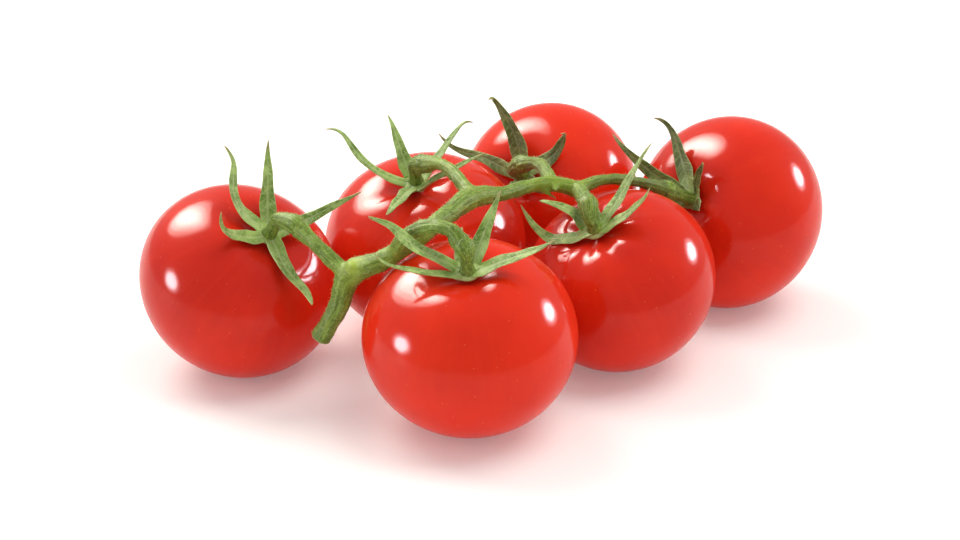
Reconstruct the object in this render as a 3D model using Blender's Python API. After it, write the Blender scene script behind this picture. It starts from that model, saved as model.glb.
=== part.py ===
"""A truss of six ripe vine tomatoes resting on a flat surface.

Lengths in the design tables are millimetres and are turned into metres by MM.
+X runs along the truss from the cut end of its stem to the last fruit, +Z is up, and
the surface it rests on is z = 0.  Each fruit is a flattened globe with a stem cavity,
turned so that its axis leans toward the stem that carries it.  On its shoulder lies a
calyx, a small hub with five long sepals.  A pedicel stands on the hub and ends in the
knuckle where a ripe fruit comes off, and the stem begins at the other face of it.
"""
import math

import bmesh
import bpy
from mathutils import Matrix, Vector

MM = 0.001
GAP = 0.3                    # clear space between two faces that touch on the real truss

# ---------------------------------------------------------------- driving dimensions
# Each fruit: centre (x, y, z), greatest radius, how far its axis leans, the compass
# direction it leans to, and its number of shoulder lobes with their turn.
FRUITS = {
    1: dict(centre=(-75.6, 29.4, 26.7), radius=30.2, lean=35, toward=-73, lobes=4, turn=20),
    2: dict(centre=(-14.3, 25.2, 26.4), radius=30.8, lean=16, toward=-141, lobes=5, turn=135),
    3: dict(centre=(-34.6, -37.6, 26.5), radius=31.0, lean=15, toward=-126, lobes=4, turn=200),
    4: dict(centre=(24.8, -25.0, 25.3), radius=29.0, lean=29, toward=-168, lobes=8, turn=264),
    5: dict(centre=(40.0, 41.0, 26.6), radius=28.7, lean=56, toward=-149, lobes=4, turn=60),
    6: dict(centre=(78.4, -4.6, 28.3), radius=30.2, lean=61, toward=-162, lobes=4, turn=5),
}
HALF_HEIGHT = 0.87           # of the radius, from the middle of a fruit to its crown
SHOULDER = 0.04              # how much wider a fruit is above its middle
CAVITY_DEPTH = 0.15          # of the radius
CAVITY_WIDTH = 0.28          # of the radius
SCAR_DEPTH = 0.025           # of the radius, the dimple at the blossom end
SCAR_WIDTH = 0.16            # of the radius
LOBE_DEPTH = 0.022           # of the radius, the furrows between shoulder lobes
LOBE_PLACE = 0.42            # of the radius, where those furrows are deepest
LOBE_WIDTH = 0.30            # of the radius
FRUIT_SIDES = 36
FRUIT_BANDS = (4, 9, 14, 20, 27, 35, 44, 54, 64, 74, 84, 94, 104, 114, 124, 134, 144, 154, 164, 172)

HUB_RADIUS = 3.7
HUB_RISE = 1.5               # height of the hub's rim
HUB_CROWN = 0.2              # how much the hub's middle stands above its rim
HUB_CLEAR = 0.5              # from the hub and the sepals down to the fruit's skin
SEPAL_SPREAD = 23            # degrees to each side that a sepal's root takes of the hub's rim
SEPAL_THICK = 0.7
SEPAL_FOLD = 0.22            # how far the edges fold up, of the half width
SEPAL_TIP = 0.35             # half width of a sepal's tip
SEPAL_STEPS = 24             # short straight steps that a sepal's slope is added up over
SEPAL_STATIONS = (0.12, 0.28, 0.45, 0.62, 0.78, 0.9, 1.0)
# Each sepal: compass directions of its root and of its tip about the fruit's axis,
# mean slope above the hub's plane, length, bend (+ droops, - curls up), half width.
SEPALS = {
    1: ((-85, -90, 7, 31, 5, 2.5), (5, 4, 34, 31, 2, 2.0), (77, 86, 38, 29, -3, 2.4),
        (126, 116, 26, 31, -13, 2.2), (194, 175, 32, 25, -36, 2.2)),
    2: ((-95, -32, 31, 25, 24, 1.6), (15, 12, 33, 28, -2, 1.8), (92, 85, 50, 24, 12, 2.3),
        (153, 126, 39, 34, -12, 1.9), (-146, -142, 11, 23, 9, 2.2)),
    3: ((-27, -28, 27, 27, -6, 2.6), (32, 29, 45, 26, 6, 2.5), (79, 66, 30, 15, 4, 2.0),
        (126, 144, 26, 36, 15, 2.3), (176, 153, 18, 28, 1, 1.5)),
    4: ((-43, -31, 29, 23, -11, 2.2), (4, 5, 26, 31, -4, 2.4), (51, 55, 12, 10, 6, 2.0),
        (108, 112, 38, 22, 28, 2.1), (157, 122, 28, 28, -60, 2.2)),
    5: ((-15, -14, 28, 26, -42, 2.4), (44, 62, 26, 30, 0, 2.8), (116, 108, 14, 31, -13, 2.0),
        (-158, -160, 66, 9, 0, 2.1), (-85, -80, 16, 12, 8, 2.2)),
    6: ((-2, -18, 47, 20, 3, 1.6), (45, 60, 9, 30, -16, 2.7), (96, 84, 36, 32, 8, 2.3),
        (150, 140, 44, 10, 4, 2.1), (-90, -95, 40, 8, 4, 2.0)),
}

STEM_SIDES = 12
STEP_ALONG = 2.5             # spacing of the rings along a stem or a pedicel
# The main stem, from its cut end to its fork: x, y, z, radius.
MAIN_STEM = (
    (-67.8, -8.3, 22.0, 2.9), (-63.3, -11.5, 32.4, 2.9), (-59.9, -12.9, 42.6, 3.7),
    (-52.6, -19.6, 48.1, 2.9), (-42.5, -22.8, 54.6, 2.8), (-31.4, -18.2, 56.6, 2.7),
    (-18.6, -10.4, 56.5, 3.3), (-7.4, -9.4, 55.1, 2.2), (3.4, -6.9, 54.3, 2.2),
    (11.3, -7.9, 53.7, 2.4), (17.6, -11.6, 51.8, 2.7),
)
# Each side branch of the main stem, from inside the stem to the knuckle.
BRANCHES = {
    1: ((-59.9, -12.5, 42.6, 2.5), (-62.2, -9.2, 44.6, 2.3), (-65.0, -3.0, 48.7, 2.1),
        (-67.4, 4.4, 52.0, 2.4)),
    2: ((-18.6, -10.1, 56.9, 2.5), (-18.0, -4.6, 58.4, 2.1), (-17.6, 2.2, 59.8, 1.9),
        (-17.9, 9.6, 59.9, 2.0), (-19.3, 15.6, 58.0, 2.4)),
    3: ((-49.4, -21.0, 49.9, 2.5), (-49.6, -25.8, 56.2, 2.2), (-47.6, -31.0, 60.9, 2.1),
        (-44.2, -35.6, 63.1, 2.0), (-41.6, -39.6, 62.5, 2.1), (-40.4, -42.4, 59.9, 2.4)),
    4: ((17.4, -12.0, 51.9, 2.5), (15.1, -17.9, 52.9, 2.3), (13.2, -23.3, 53.0, 2.4)),
    5: ((11.3, -7.5, 53.4, 2.2), (13.6, 0.4, 54.0, 1.9), (17.0, 9.2, 52.5, 1.8),
        (19.1, 17.2, 49.7, 1.9), (19.0, 22.6, 47.3, 2.4)),
    6: ((17.4, -11.6, 51.9, 2.2), (25.0, -11.6, 53.2, 1.7), (33.2, -12.4, 52.0, 1.6),
        (41.0, -13.0, 49.2, 1.6), (47.4, -12.8, 46.1, 2.2)),
}
# How far along its fruit's axis each pedicel stays straight, and its two radii.
PEDICEL_RISE = {1: 7.0, 2: 6.0, 3: 5.0, 4: 4.0, 5: 7.0, 6: 5.5}
PEDICEL_ROOT = 2.3
PEDICEL_WAIST = 1.8
KNUCKLE_RADIUS = 2.5
KNUCKLE_LENGTH = 2.0

GREEN_STEM = ((0.22, 0.37, 0.08, 1.0), 0.55)
GREEN_PEDICEL = ((0.24, 0.40, 0.09, 1.0), 0.55)
GREEN_SEPAL = ((0.12, 0.28, 0.06, 1.0), 0.6)
RED_SKIN = ((0.72, 0.035, 0.012, 1.0), 0.22)


# ---------------------------------------------------------------- helpers
def clear_scene():
    """Empty the file before modelling."""
    for thing in list(bpy.data.objects):
        bpy.data.objects.remove(thing, do_unlink=True)


def make_material(name, finish):
    """Principled material with a colour and a roughness, never metallic."""
    colour, rough = finish
    material = bpy.data.materials.new(name)
    material.use_nodes = True
    shader = material.node_tree.nodes["Principled BSDF"]
    shader.inputs["Base Color"].default_value = colour
    shader.inputs["Roughness"].default_value = rough
    shader.inputs["Metallic"].default_value = 0.0
    material.diffuse_color = colour
    return material


def make_object(name, work, material):
    """Turn a bmesh in millimetres into a smooth-shaded object in metres."""
    bmesh.ops.scale(work, vec=(MM, MM, MM), verts=work.verts)
    bmesh.ops.recalc_face_normals(work, faces=work.faces)
    mesh = bpy.data.meshes.new(name)
    work.to_mesh(mesh)
    work.free()
    mesh.materials.append(material)
    mesh.shade_smooth()
    mesh.set_sharp_from_angle(angle=math.radians(50))
    thing = bpy.data.objects.new(name, mesh)
    bpy.context.scene.collection.objects.link(thing)
    return thing


def fruit_frame(number):
    """Matrix from a fruit's own frame, stem end up, to the truss."""
    fruit = FRUITS[number]
    compass = math.radians(fruit["toward"])
    turn = Matrix.Rotation(compass, 4, "Z")
    lean = Matrix.Rotation(math.radians(fruit["lean"]), 4, "Y")
    return Matrix.Translation(fruit["centre"]) @ turn @ lean @ turn.inverted()


def skin_point(number, polar, around):
    """Point of a fruit's skin: a flattened globe, less its cavity, scar and furrows."""
    fruit = FRUITS[number]
    radius = fruit["radius"]
    across = math.sin(polar) * (1 + SHOULDER * math.cos(polar))
    up = HALF_HEIGHT * math.cos(polar)
    if up > 0:
        up -= CAVITY_DEPTH * math.exp(-(across / CAVITY_WIDTH) ** 2)
        wave = 0.5 - 0.5 * math.cos(fruit["lobes"] * around + math.radians(fruit["turn"]))
        up -= LOBE_DEPTH * wave * math.exp(-((across - LOBE_PLACE) / LOBE_WIDTH) ** 2)
    else:
        up += SCAR_DEPTH * math.exp(-(across / SCAR_WIDTH) ** 2)
    across *= radius
    return Vector((across * math.cos(around), across * math.sin(around), up * radius))


def shoulder_height(number, across):
    """Height of the skin's lobes at a distance from the fruit's axis."""
    share = min(across / FRUITS[number]["radius"], 1.0)
    polar = math.asin(share)
    for _ in range(4):
        polar = math.asin(min(share / (1 + SHOULDER * math.cos(polar)), 1.0))
    height = HALF_HEIGHT * math.cos(polar)
    height -= CAVITY_DEPTH * math.exp(-(share / CAVITY_WIDTH) ** 2)
    return height * FRUITS[number]["radius"]


# ---------------------------------------------------------------- fruits
def make_fruit(number, material):
    """Globe from rings about its axis, with a flat where its weight settles it."""
    work = bmesh.new()
    rings = []
    for degrees in FRUIT_BANDS:
        ring = []
        for side in range(FRUIT_SIDES):
            around = 2 * math.pi * side / FRUIT_SIDES
            ring.append(work.verts.new(skin_point(number, math.radians(degrees), around)))
        rings.append(ring)
    for upper, lower in zip(rings, rings[1:]):
        for side in range(FRUIT_SIDES):
            after = (side + 1) % FRUIT_SIDES
            work.faces.new((upper[side], lower[side], lower[after], upper[after]))
    for polar, ring in ((0.0, rings[0]), (math.pi, rings[-1])):
        pole = work.verts.new(skin_point(number, polar, 0.0))
        for side in range(FRUIT_SIDES):
            work.faces.new((pole, ring[side], ring[(side + 1) % FRUIT_SIDES]))
    bmesh.ops.transform(work, matrix=fruit_frame(number), verts=work.verts)
    cut = bmesh.ops.bisect_plane(
        work, geom=work.verts[:] + work.edges[:] + work.faces[:], dist=0.0001,
        plane_co=(0, 0, 0), plane_no=(0, 0, -1), clear_outer=True)
    rim = [piece for piece in cut["geom_cut"] if isinstance(piece, bmesh.types.BMEdge)]
    bmesh.ops.contextual_create(work, geom=rim)
    return make_object(f"fruit_{number}", work, material)


# ---------------------------------------------------------------- calyxes
def sepal_path(sepal, share):
    """Distance from the axis, height and direction at a share of a sepal's length."""
    root, tip, slope, length, bend, _ = sepal
    across = HUB_RADIUS
    height = 0.0
    for step in range(round(share * SEPAL_STEPS)):
        here = (step + 0.5) / SEPAL_STEPS
        angle = math.radians(slope + bend * (1 - 2 * here))
        across += math.cos(angle) * (length - HUB_RADIUS) / SEPAL_STEPS
        height += math.sin(angle) * (length - HUB_RADIUS) / SEPAL_STEPS
    compass = math.radians(root + (tip - root) * share ** 0.8)
    return across, height, compass


def sepal_half_width(sepal, share):
    """Widest a quarter of the way out, then drawn to a fine tip."""
    swell = 0.62 + 0.38 * min(share / 0.25, 1.0)
    taper = (1 - share ** 1.4) ** 0.8
    return sepal[5] * swell * taper + SEPAL_TIP


def sepal_ring(number, sepal, share, base):
    """Six points around a folded blade: three above, three below."""
    across, height, compass = sepal_path(sepal, share)
    half = sepal_half_width(sepal, share)
    out = Vector((math.cos(compass), math.sin(compass), 0))
    aside = Vector((-out.y, out.x, 0))
    ring = []
    for edge in (-1, 0, 1):
        spot = out * across + aside * (half * edge)
        lift = base + height + SEPAL_FOLD * half * abs(edge)
        floor = shoulder_height(number, spot.xy.length) + HUB_CLEAR + SEPAL_THICK
        spot.z = max(lift, floor)
        ring.append(spot)
    under = [spot - Vector((0, 0, SEPAL_THICK)) for spot in reversed(ring)]
    return ring + under


def make_calyx(number, material):
    """Hub with its sepals drawn out of its rim, laid in the fruit's cavity."""
    work = bmesh.new()
    sepals = sorted(SEPALS[number], key=lambda sepal: sepal[0] % 360)
    rim_low = shoulder_height(number, HUB_RADIUS) + HUB_CLEAR
    rim_high = rim_low + HUB_RISE
    spread = math.radians(SEPAL_SPREAD)
    upper = []
    lower = []
    blades = []
    for sepal in sepals:
        root = math.radians(sepal[0])
        corners = []
        for turn in (-spread, 0, spread):
            flat = Vector((math.cos(root + turn), math.sin(root + turn), 0)) * HUB_RADIUS
            corners.append((flat + Vector((0, 0, rim_high)), flat + Vector((0, 0, rim_low))))
        tops = [work.verts.new(pair[0]) for pair in corners]
        lows = [work.verts.new(pair[1]) for pair in corners]
        upper += tops
        lower += lows
        blades.append((sepal, tops + lows[::-1]))
    for sepal, ring in blades:
        for share in SEPAL_STATIONS:
            spots = sepal_ring(number, sepal, share, rim_high)
            after = [work.verts.new(spot) for spot in spots]
            for side in range(6):
                following = (side + 1) % 6
                work.faces.new((ring[side], ring[following], after[following], after[side]))
            ring = after
        work.faces.new((ring[0], ring[1], ring[4], ring[5]))
        work.faces.new((ring[1], ring[2], ring[3], ring[4]))
    count = len(upper)
    for side in range(2, count, 3):
        after = (side + 1) % count
        work.faces.new((upper[side], upper[after], lower[after], lower[side]))
    crown = work.verts.new((0, 0, rim_high + HUB_CROWN))
    keel = work.verts.new((0, 0, shoulder_height(number, 0.0) + HUB_CLEAR))
    for side in range(count):
        after = (side + 1) % count
        work.faces.new((crown, upper[side], upper[after]))
        work.faces.new((keel, lower[after], lower[side]))
    bmesh.ops.transform(work, matrix=fruit_frame(number), verts=work.verts)
    return make_object(f"calyx_{number}", work, material)


# ---------------------------------------------------------------- pedicels and stem
def smooth_route(points):
    """Catmull-Rom curve through (x, y, z, radius) points, with rings STEP_ALONG apart."""
    knots = [Vector(point) for point in points]
    knots = [2 * knots[0] - knots[1]] + knots + [2 * knots[-1] - knots[-2]]
    route = []
    for a, b, c, d in zip(knots, knots[1:], knots[2:], knots[3:]):
        pieces = max(1, round((c.xyz - b.xyz).length / STEP_ALONG))
        for piece in range(pieces):
            t = piece / pieces
            route.append(0.5 * (2 * b + (c - a) * t + (2 * a - 5 * b + 4 * c - d) * t ** 2
                                + (3 * b - a - 3 * c + d) * t ** 3))
    route.append(knots[-2])
    return route


def make_tube(route, first=None, last=None):
    """Closed tube about a route.  first and last turn its end faces square to them."""
    work = bmesh.new()
    places = [point.xyz for point in route]
    normal = Vector((0.3, 0.2, 1.0))
    rings = []
    for index, point in enumerate(route):
        along = places[min(index + 1, len(route) - 1)] - places[max(index - 1, 0)]
        if index == 0 and first:
            along = first
        if index == len(route) - 1 and last:
            along = last
        along = along.normalized()
        normal = (normal - along * normal.dot(along)).normalized()
        aside = along.cross(normal)
        ring = []
        for side in range(STEM_SIDES):
            turn = 2 * math.pi * side / STEM_SIDES
            spoke = normal * math.cos(turn) + aside * math.sin(turn)
            ring.append(work.verts.new(places[index] + spoke * point.w))
        rings.append(ring)
    for before, after in zip(rings, rings[1:]):
        for side in range(STEM_SIDES):
            following = (side + 1) % STEM_SIDES
            work.faces.new((before[side], before[following], after[following], after[side]))
    work.faces.new(rings[0][::-1])
    work.faces.new(rings[-1])
    return work


def knuckle_direction(number):
    """Unit direction in which the stem comes into a knuckle."""
    before, end = BRANCHES[number][-2:]
    return (Vector(end[:3]) - Vector(before[:3])).normalized()


def make_pedicel(number, material):
    """Short stalk up the fruit's axis, bending over into the knuckle."""
    frame = fruit_frame(number)
    root = shoulder_height(number, HUB_RADIUS) + HUB_CLEAR + HUB_RISE + HUB_CROWN + GAP
    rise = PEDICEL_RISE[number]
    inward = knuckle_direction(number)
    end = Vector(BRANCHES[number][-1][:3]) + inward * GAP
    route = []
    for height, radius in ((0, PEDICEL_ROOT), (0.45 * rise, PEDICEL_WAIST), (rise, PEDICEL_WAIST)):
        route.append((*(frame @ Vector((0, 0, root + height))), radius))
    route.append((*(end + inward * KNUCKLE_LENGTH), KNUCKLE_RADIUS))
    route.append((*end, KNUCKLE_RADIUS))
    axis = frame.to_3x3() @ Vector((0, 0, 1))
    work = make_tube(smooth_route(route), first=axis, last=-inward)
    return make_object(f"pedicel_{number}", work, material)


def make_rachis(material):
    """Main stem with its side branches joined on, each ending square at a knuckle."""
    stem = make_object("rachis", make_tube(smooth_route(MAIN_STEM)), material)
    for number, points in BRANCHES.items():
        work = make_tube(smooth_route(points), last=knuckle_direction(number))
        branch = make_object(f"branch_{number}", work, material)
        join = stem.modifiers.new(f"branch_{number}", "BOOLEAN")
        join.operation = "UNION"
        join.solver = "EXACT"
        join.object = branch
        branch.display_type = "WIRE"
        branch.hide_render = True
    return stem


def make_truss():
    """Every piece of the truss, each with its own material."""
    for number in FRUITS:
        make_fruit(number, make_material(f"fruit_skin_{number}", RED_SKIN))
        make_calyx(number, make_material(f"calyx_leaf_{number}", GREEN_SEPAL))
        make_pedicel(number, make_material(f"pedicel_green_{number}", GREEN_PEDICEL))
    make_rachis(make_material("stem_green", GREEN_STEM))


clear_scene()
make_truss()
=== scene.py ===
"""Looks of a truss of six ripe vine tomatoes.

Every shape is worked out in millimetres in the truss's own frame, +X along the truss and
+Z up, and put into a mesh in metres.  Fruits and calyxes are made about a fruit's own
axis, stem end up, and then leaned over.
"""

import math

import bmesh
import bpy
import numpy as np
from mathutils import Matrix, Vector


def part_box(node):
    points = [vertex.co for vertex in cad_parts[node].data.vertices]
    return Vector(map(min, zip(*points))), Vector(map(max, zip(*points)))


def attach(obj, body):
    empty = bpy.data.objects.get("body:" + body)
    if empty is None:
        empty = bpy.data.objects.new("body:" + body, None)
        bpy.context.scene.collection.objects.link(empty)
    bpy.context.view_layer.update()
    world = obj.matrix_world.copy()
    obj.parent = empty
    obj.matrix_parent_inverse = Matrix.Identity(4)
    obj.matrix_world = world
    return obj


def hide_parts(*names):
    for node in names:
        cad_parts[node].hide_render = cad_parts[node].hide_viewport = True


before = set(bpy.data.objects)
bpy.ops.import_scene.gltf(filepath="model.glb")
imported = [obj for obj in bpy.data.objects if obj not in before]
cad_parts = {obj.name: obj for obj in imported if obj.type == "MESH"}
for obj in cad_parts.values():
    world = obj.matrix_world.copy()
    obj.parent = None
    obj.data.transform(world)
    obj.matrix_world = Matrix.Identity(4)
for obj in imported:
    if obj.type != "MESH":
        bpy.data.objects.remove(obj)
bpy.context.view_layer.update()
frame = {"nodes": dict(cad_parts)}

MM = 0.001

# ------------------------ the design, as in the CAD
# Each fruit: radius, lean of its axis and the compass it leans toward in degrees, then the
# number of its shoulder lobes and how far round they are turned.
FRUITS = {
    1: dict(radius=30.2, lean=35, toward=-73, lobes=4, turn=20),
    2: dict(radius=30.8, lean=16, toward=-141, lobes=5, turn=135),
    3: dict(radius=31.0, lean=15, toward=-126, lobes=4, turn=200),
    4: dict(radius=29.0, lean=29, toward=-168, lobes=8, turn=264),
    5: dict(radius=28.7, lean=56, toward=-149, lobes=4, turn=60),
    6: dict(radius=30.2, lean=61, toward=-162, lobes=4, turn=5),
}
HALF_HEIGHT = 0.87           # of the radius, from the middle of a fruit to its crown
SHOULDER = 0.04              # how much wider a fruit is above its middle
CAVITY_DEPTH = 0.15          # of the radius
CAVITY_WIDTH = 0.28          # of the radius
SCAR_DEPTH = 0.025           # of the radius, the dimple at the blossom end
SCAR_WIDTH = 0.16            # of the radius
LOBE_DEPTH = 0.022           # of the radius, the furrows between shoulder lobes
LOBE_PLACE = 0.42            # of the radius, where those furrows are deepest
LOBE_WIDTH = 0.30            # of the radius

HUB_RADIUS = 3.7
HUB_RISE = 1.5               # thickness of the hub
HUB_CLEAR = 0.5              # between the skin and the hub at its rim

# Each sepal: compass of its root and its tip, mean slope, length, bend and half width as
# in the CAD, then its looks: hook at the tip, sideways sway and twist, all in degrees.
SEPALS = {
    1: ((-85, -90, 7, 31, 5, 2.5, 50, -5, 10), (5, 4, 34, 31, 2, 2.0, 20, -1, 25),
        (77, 86, 38, 29, -3, 2.4, 30, 1, -20), (126, 116, 26, 31, -13, 2.2, 36, 10, 30),
        (194, 175, 32, 25, -36, 2.2, 20, -4, -20)),
    2: ((-95, -32, 31, 25, 24, 1.6, -15, 0, 20), (15, 12, 33, 28, -2, 1.8, -80, 0, -25),
        (92, 85, 50, 24, 12, 2.3, -8, 1, 15), (153, 126, 39, 34, -12, 1.9, -68, 4, 20),
        (-146, -142, 11, 23, 9, 2.2, 30, 1, 0)),
    3: ((-27, -28, 27, 27, -6, 2.6, -4, 2, 15), (32, 29, 45, 26, 6, 2.5, 8, 0, 30),
        (79, 66, 30, 15, 4, 2.0, 0, 0, 0), (126, 144, 26, 36, 15, 2.3, 100, 10, -25),
        (176, 153, 18, 28, 1, 1.5, 30, -1, 10)),
    4: ((-43, -31, 29, 23, -11, 2.2, 8, 0, -15), (4, 5, 26, 31, -4, 2.4, -10, -1, -25),
        (51, 55, 12, 10, 6, 2.0, 0, 0, 0), (108, 112, 38, 22, 28, 2.1, -60, -4, 20),
        (157, 122, 28, 28, -60, 2.2, -6, 2, 15)),
    5: ((-15, -14, 28, 26, -42, 2.4, 38, -2, 10), (44, 62, 26, 30, 0, 2.8, 95, -1, -20),
        (116, 108, 14, 31, -13, 2.0, 0, -3, 15), (-158, -160, 66, 9, 0, 2.1, 0, 0, 0),
        (-85, -80, 16, 12, 8, 2.2, 30, 0, 10)),
    6: ((-2, -18, 47, 20, 3, 1.6, 22, 0, 20), (45, 60, 9, 30, -16, 2.7, 57, 2, -15),
        (96, 84, 36, 32, 8, 2.3, -24, 0, 20), (150, 140, 44, 10, 4, 2.1, 0, 0, 0),
        (-90, -95, 40, 8, 4, 2.0, 0, 0, 0)),
}

# Routes of the stem, x, y, z and radius: the main stem from its cut end to its fork.
MAIN_STEM = (
    (-67.8, -8.3, 22.0, 2.9), (-63.3, -11.5, 32.4, 2.9), (-59.9, -12.9, 42.6, 3.7),
    (-52.6, -19.6, 48.1, 2.9), (-42.5, -22.8, 54.6, 2.8), (-31.4, -18.2, 56.6, 2.7),
    (-18.6, -10.4, 56.5, 3.3), (-7.4, -9.4, 55.1, 2.2), (3.4, -6.9, 54.3, 2.2),
    (11.3, -7.9, 53.7, 2.4), (17.6, -11.6, 51.8, 2.7),
)
BRANCHES = {
    1: ((-59.9, -12.5, 42.6, 2.5), (-62.2, -9.2, 44.6, 2.3), (-65.0, -3.0, 48.7, 2.1),
        (-67.4, 4.4, 52.0, 2.4)),
    2: ((-18.6, -10.1, 56.9, 2.5), (-18.0, -4.6, 58.4, 2.1), (-17.6, 2.2, 59.8, 1.9),
        (-17.9, 9.6, 59.9, 2.0), (-19.3, 15.6, 58.0, 2.4)),
    3: ((-49.4, -21.0, 49.9, 2.5), (-49.6, -25.8, 56.2, 2.2), (-47.6, -31.0, 60.9, 2.1),
        (-44.2, -35.6, 63.1, 2.0), (-41.6, -39.6, 62.5, 2.1), (-40.4, -42.4, 59.9, 2.4)),
    4: ((17.4, -12.0, 51.9, 2.5), (15.1, -17.9, 52.9, 2.3), (13.2, -23.3, 53.0, 2.4)),
    5: ((11.3, -7.5, 53.4, 2.2), (13.6, 0.4, 54.0, 1.9), (17.0, 9.2, 52.5, 1.8),
        (19.1, 17.2, 49.7, 1.9), (19.0, 22.6, 47.3, 2.4)),
    6: ((17.4, -11.6, 51.9, 2.2), (25.0, -11.6, 53.2, 1.7), (33.2, -12.4, 52.0, 1.6),
        (41.0, -13.0, 49.2, 1.6), (47.4, -12.8, 46.1, 2.2)),
}
PEDICEL_RISE = {1: 7.0, 2: 6.0, 3: 5.0, 4: 4.0, 5: 7.0, 6: 5.5}   # straight part
# Stations up the fruit's axis: share of that rise, height added to it and radius.
PEDICEL_FOOT = ((0, -1.2, 2.9), (0, 0.6, 2.3), (0.45, 0.5, 1.8), (1, 0.5, 1.9))
# Stations at the knuckle: distance from the branch's end, away from it, and radius.
PEDICEL_HEAD = ((2.1, 2.95), (0.15, 2.65))

# ------------------------ the looks
AROUND = 168                 # columns of a fruit's skin
DOWN = 112                   # rows of a fruit's skin
FIRST_ROW, LAST_ROW = 0.012, 0.994      # of the way from crown to blossom end
ROW_CROWDING = 0.075         # how much closer together the rows are at both ends
PUCKER_DEPTH = 0.0018        # of the radius, the small folds that run out of the cavity
PUCKER_PLACE = 0.2           # of the radius, where they are deepest
PUCKER_WIDTH = 0.11          # of the radius
UNEVEN = 0.004               # of the radius, how far a fruit is from round
RIPENESS = {1: 0.35, 2: 0.6, 3: 0.7, 4: 0.4, 5: 0.8, 6: 0.5}      # 0 deep, 1 bright red

HUB_ROWS = 22
HUB_COLUMNS = 96
HUB_INSET = 0.5              # of its rim between two sepals, inside the hub's radius
HUB_SWELL = 1.1              # of its rim toward a sepal
SWELL_TURN = 0.34            # half the angle that such a swelling takes up
SWELL_LIMIT = 1.1            # where two of them meet
HUB_HALF = 0.95              # half its thickness
HUB_BASE = 0.3               # its underside over the skin
HUB_PEAK = 0.55              # height of the peak in its middle
PEAK_REACH = 2.4
HUB_GAP = 0.12               # least gap between it and the skin

SEPAL_ROWS = 58
SEPAL_COLUMNS = 28
SEPAL_TAIL = 0.10            # of a sepal's length, its part inside the hub
SEPAL_NECK = 0.92            # of the half width, at the root
SEPAL_BELLY = 0.26           # of the half width, added over the first part
BELLY_PLACE = 0.18           # of the length, where that part ends
SEPAL_WAVY = 0.05            # of the half width, how it waves along the edges
SEPAL_TIP = 0.05             # half width of the last ring
SEPAL_EDGE = 0.14            # added to the half width all along
SEPAL_THICK = 0.95           # at the root
SEPAL_THINNING = 0.45        # lost from root to tip
SEPAL_FOLD = 0.34            # of the half width, how far both edges fold up at the root
FOLD_LOSS = 0.12             # of the half width, how much of it is lost toward the tip
GROOVE_DEPTH = 0.16          # along the middle above
GROOVE_WIDTH = 0.16          # of the half width
MIDRIB_DEPTH = 0.34          # along the middle below
MIDRIB_WIDTH = 0.17          # of the half width
EDGE_WAVE = 0.099            # of the half width, both edges together
EDGE_TILT = 0.1              # of the half width, one edge up and the other down
SKIN_CLEAR = 0.25            # least gap between a sepal and the skin
SEPAL_SINK = 0.35            # of its spine, under the top of the hub
HOOK_START = 0.72            # of the length, where the hooked tip begins
AGES = {5: 0.7, 6: 0.8}      # calyxes that are past fresh, 1 is brown
FRESH_AGE = 0.1              # of all other calyxes

ROUTE_STEP = 0.5             # between the stations of a stalk
STEM_SIDES = 36
STALK_SIDES = 40             # of a pedicel
STEM_DOME = 0.6              # height of the rounded ends of the stem's branches
STALK_DOME = 0.55            # height of the rounded end of a pedicel
STEM_VOXEL = 0.34            # size of the grain that the stem's branches are fused with
KNUCKLE_SWELL = 0.4          # added to a branch's radius at its knuckle
SWELL_REACH = 2.2
FORK_REACH = 4.5             # how far round a fork the skin is smoothed and paler
PALE_REACH = 2.6             # of the young, pale bump on the largest knob
RIB_HEIGHT = 0.07            # of the fine ribs along the stem
RIBS = 9
FORK_CALM = 0.8              # share of the ribs that is lost at a fork
LUMPS = (0.10, 0.07)         # heights of the slow and the quick lumps of the stem
STALK_RIBS = (0.05, 0.04)    # heights of a pedicel's fine and broad ribs
LEAST_RADIUS = 0.2           # from a spine, where its direction can still be told
CUT_REACH = 6.0              # round the cut end
CUT_DEPTH = 0.45             # of the cut face, along the stem
RELAX_ALL = (0.5, 5)         # how far toward the mean of its neighbours, how many rounds
RELAX_FORKS = (0.6, 26)
HAIRS = 3200                 # on the main stem and its branches
PEDICEL_HAIRS = 260
HAIR_LENGTH = (0.4, 1.0)
HAIR_WIDTH = 0.045           # from its middle to each of its three edges at the root
HAIR_ROOT = 0.12             # depth of its foot under the skin
HAIR_LEAN = 0.35             # spread of its direction about the outward one
ANY_WAY = (0.31, 0.52, 0.79)            # a direction to start the foot's corners from

# Small knobs on the stem, from a point inside it: foot, tip, radius at the foot.
KNOBS = (
    ((-60.0, -13.2, 41.8), (-60.4, -15.6, 47.0), 3.1),
    ((-18.9, -10.2, 56.2), (-20.6, -13.6, 58.2), 1.9),
    ((-42.6, -22.8, 54.6), (-40.8, -20.2, 58.2), 1.6),
    ((11.2, -8.2, 53.6), (9.6, -11.6, 53.4), 1.5),
    ((-17.8, 9.2, 59.8), (-16.2, 9.4, 58.4), 1.3),
    ((5.2, -7.6, 53.8), (10.4, -10.6, 50.4), 0.9),
)


# ------------------------ meshes
def add_to_scene(name, data):
    """An object that holds the given mesh, lamp or camera."""
    made = bpy.data.objects.new(name, data)
    bpy.context.scene.collection.objects.link(made)
    return made


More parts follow.
